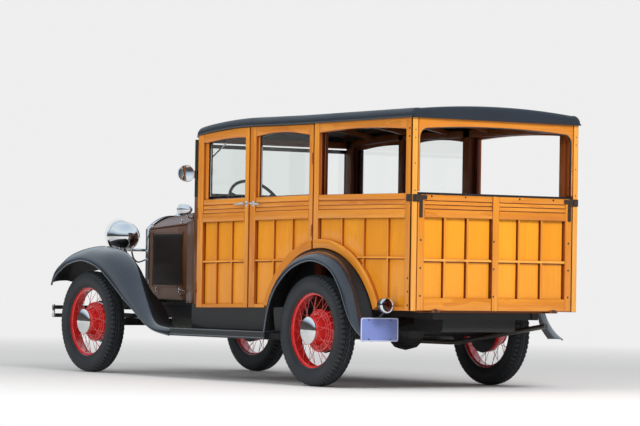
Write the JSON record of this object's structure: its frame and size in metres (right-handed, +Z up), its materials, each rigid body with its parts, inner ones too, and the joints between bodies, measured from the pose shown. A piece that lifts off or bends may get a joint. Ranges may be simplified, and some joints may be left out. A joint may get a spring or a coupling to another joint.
{
  "type": "station wagon with a wooden body",
  "caption": "Early-1930s station wagon: steel frame and fenders, boarded wooden body with doors and tailgate, fabric roof, wire wheels that roll and steer.",
  "frame": {"origin": "on the ground, under the centre of the bounding box", "axes": "+Y towards the rear, +X towards the car's left, +Z up"},
  "size_m": [1.667, 4.293, 1.8089],
  "materials": {
    "wood": "varnished honey-coloured boards and posts",
    "roof_fabric": "dark grey-blue coated fabric",
    "paint_black": "gloss black",
    "paint_brown": "metallic brown",
    "paint_red": "gloss red",
    "chrome": "bright plated",
    "window_glass": "clear",
    "tyre_rubber": "treaded",
    "iron": "dark",
    "seat_leather": "dark brown",
    "core": "dark finned core",
    "control_black": "black hard rubber"
  },
  "bodies": {
    "wagon": {"body_sides": "wood", "body_frame": "wood", "roof_frame": "wood", "windscreen_frame": "paint_black", "glazing": "window_glass", "roof": "roof_fabric", "cowl": "paint_brown", "hood_sides": "paint_brown", "radiator_shell": "chrome", "radiator_core": "core", "front_lamps": "chrome", "tail_lamp": "chrome", "mirror": "chrome", "front_bumper": "chrome", "front_fenders": "paint_black", "rear_fenders": "paint_black", "running_boards": "paint_black", "chassis_frame": "iron", "front_axle": "iron", "rear_axle": "iron", "leaf_springs": "iron", "power_unit": "iron", "exhaust": "iron", "fuel_tank": "iron", "floor": "wood", "front_seat": "seat_leather", "rear_seat": "seat_leather", "steering_column": "control_black"},
    "knuckle_left": {"knuckle_left": "iron"},
    "hood_left": {"hood_left": "paint_brown"},
    "front_wheel_left": {"wheel_front_left": "paint_red", "tyre_front_left": "tyre_rubber"},
    "front_door_left": {"front_door_left": "wood", "front_door_glass_left": "window_glass"},
    "rear_wheel_left": {"wheel_rear_left": "paint_red", "tyre_rear_left": "tyre_rubber"},
    "rear_door_left": {"rear_door_left": "wood", "rear_door_glass_left": "window_glass"},
    "knuckle_right": {"knuckle_right": "iron"},
    "hood_right": {"hood_right": "paint_brown"},
    "front_wheel_right": {"wheel_front_right": "paint_red", "tyre_front_right": "tyre_rubber"},
    "front_door_right": {"front_door_right": "wood", "front_door_glass_right": "window_glass"},
    "rear_wheel_right": {"wheel_rear_right": "paint_red", "tyre_rear_right": "tyre_rubber"},
    "rear_door_right": {"rear_door_right": "wood", "rear_door_glass_right": "window_glass"},
    "tailgate": {"tailgate": "wood"},
    "steering_wheel": {"steering_wheel": "control_black"}
  },
  "joints": [
    {"name": "steer_left", "type": "hinge", "parent": "wagon", "child": "knuckle_left", "pos_m": [0.615, -1.574, 0.361], "axis": [0, 0, 1], "range_deg": [-32, 32]},
    {"name": "front_wheel_left_spin", "type": "hinge", "parent": "knuckle_left", "child": "front_wheel_left", "pos_m": [0.717, -1.574, 0.361], "axis": [1, 0, 0], "continuous": true},
    {"name": "rear_wheel_left_spin", "type": "hinge", "parent": "wagon", "child": "rear_wheel_left", "pos_m": [0.717, 1.195, 0.361], "axis": [1, 0, 0], "continuous": true},
    {"name": "front_door_left_hinge", "type": "hinge", "parent": "wagon", "child": "front_door_left", "pos_m": [0.678, -0.3015, 0.8], "axis": [0, 0, -1], "range_deg": [0, 70]},
    {"name": "rear_door_left_hinge", "type": "hinge", "parent": "wagon", "child": "rear_door_left", "pos_m": [0.678, 1.0555, 1], "axis": [0, 0, 1], "range_deg": [0, 70]},
    {"name": "hood_left_hinge", "type": "hinge", "parent": "wagon", "child": "hood_left", "pos_m": [0, -1.5425, 1.126], "axis": [0, -0.9959, -0.0909], "range_deg": [0, 55]},
    {"name": "steer_right", "type": "hinge", "parent": "wagon", "child": "knuckle_right", "pos_m": [-0.615, -1.574, 0.361], "axis": [0, 0, 1], "range_deg": [-32, 32]},
    {"name": "front_wheel_right_spin", "type": "hinge", "parent": "knuckle_right", "child": "front_wheel_right", "pos_m": [-0.717, -1.574, 0.361], "axis": [1, 0, 0], "continuous": true},
    {"name": "rear_wheel_right_spin", "type": "hinge", "parent": "wagon", "child": "rear_wheel_right", "pos_m": [-0.717, 1.195, 0.361], "axis": [1, 0, 0], "continuous": true},
    {"name": "front_door_right_hinge", "type": "hinge", "parent": "wagon", "child": "front_door_right", "pos_m": [-0.678, -0.3015, 0.8], "axis": [0, 0, 1], "range_deg": [0, 70]},
    {"name": "rear_door_right_hinge", "type": "hinge", "parent": "wagon", "child": "rear_door_right", "pos_m": [-0.678, 1.0555, 1], "axis": [0, 0, -1], "range_deg": [0, 70]},
    {"name": "hood_right_hinge", "type": "hinge", "parent": "wagon", "child": "hood_right", "pos_m": [0, -1.5425, 1.126], "axis": [0, 0.9959, 0.0909], "range_deg": [0, 55]},
    {"name": "tailgate_hinge", "type": "hinge", "parent": "wagon", "child": "tailgate", "pos_m": [0, 2.1305, 0.505], "axis": [-1, 0, 0], "range_deg": [0, 90]},
    {"name": "steering_wheel_turn", "type": "hinge", "parent": "wagon", "child": "steering_wheel", "pos_m": [0.35, -0.0595, 1.19], "axis": [0, 0.8192, 0.5736], "range_deg": [-330, 330]}
  ],
  "couplings": [
    {"joint": "steer_right", "follows": "steer_left", "ratio": 1},
    {"joint": "steering_wheel_turn", "follows": "steer_left", "ratio": 10}
  ]
}
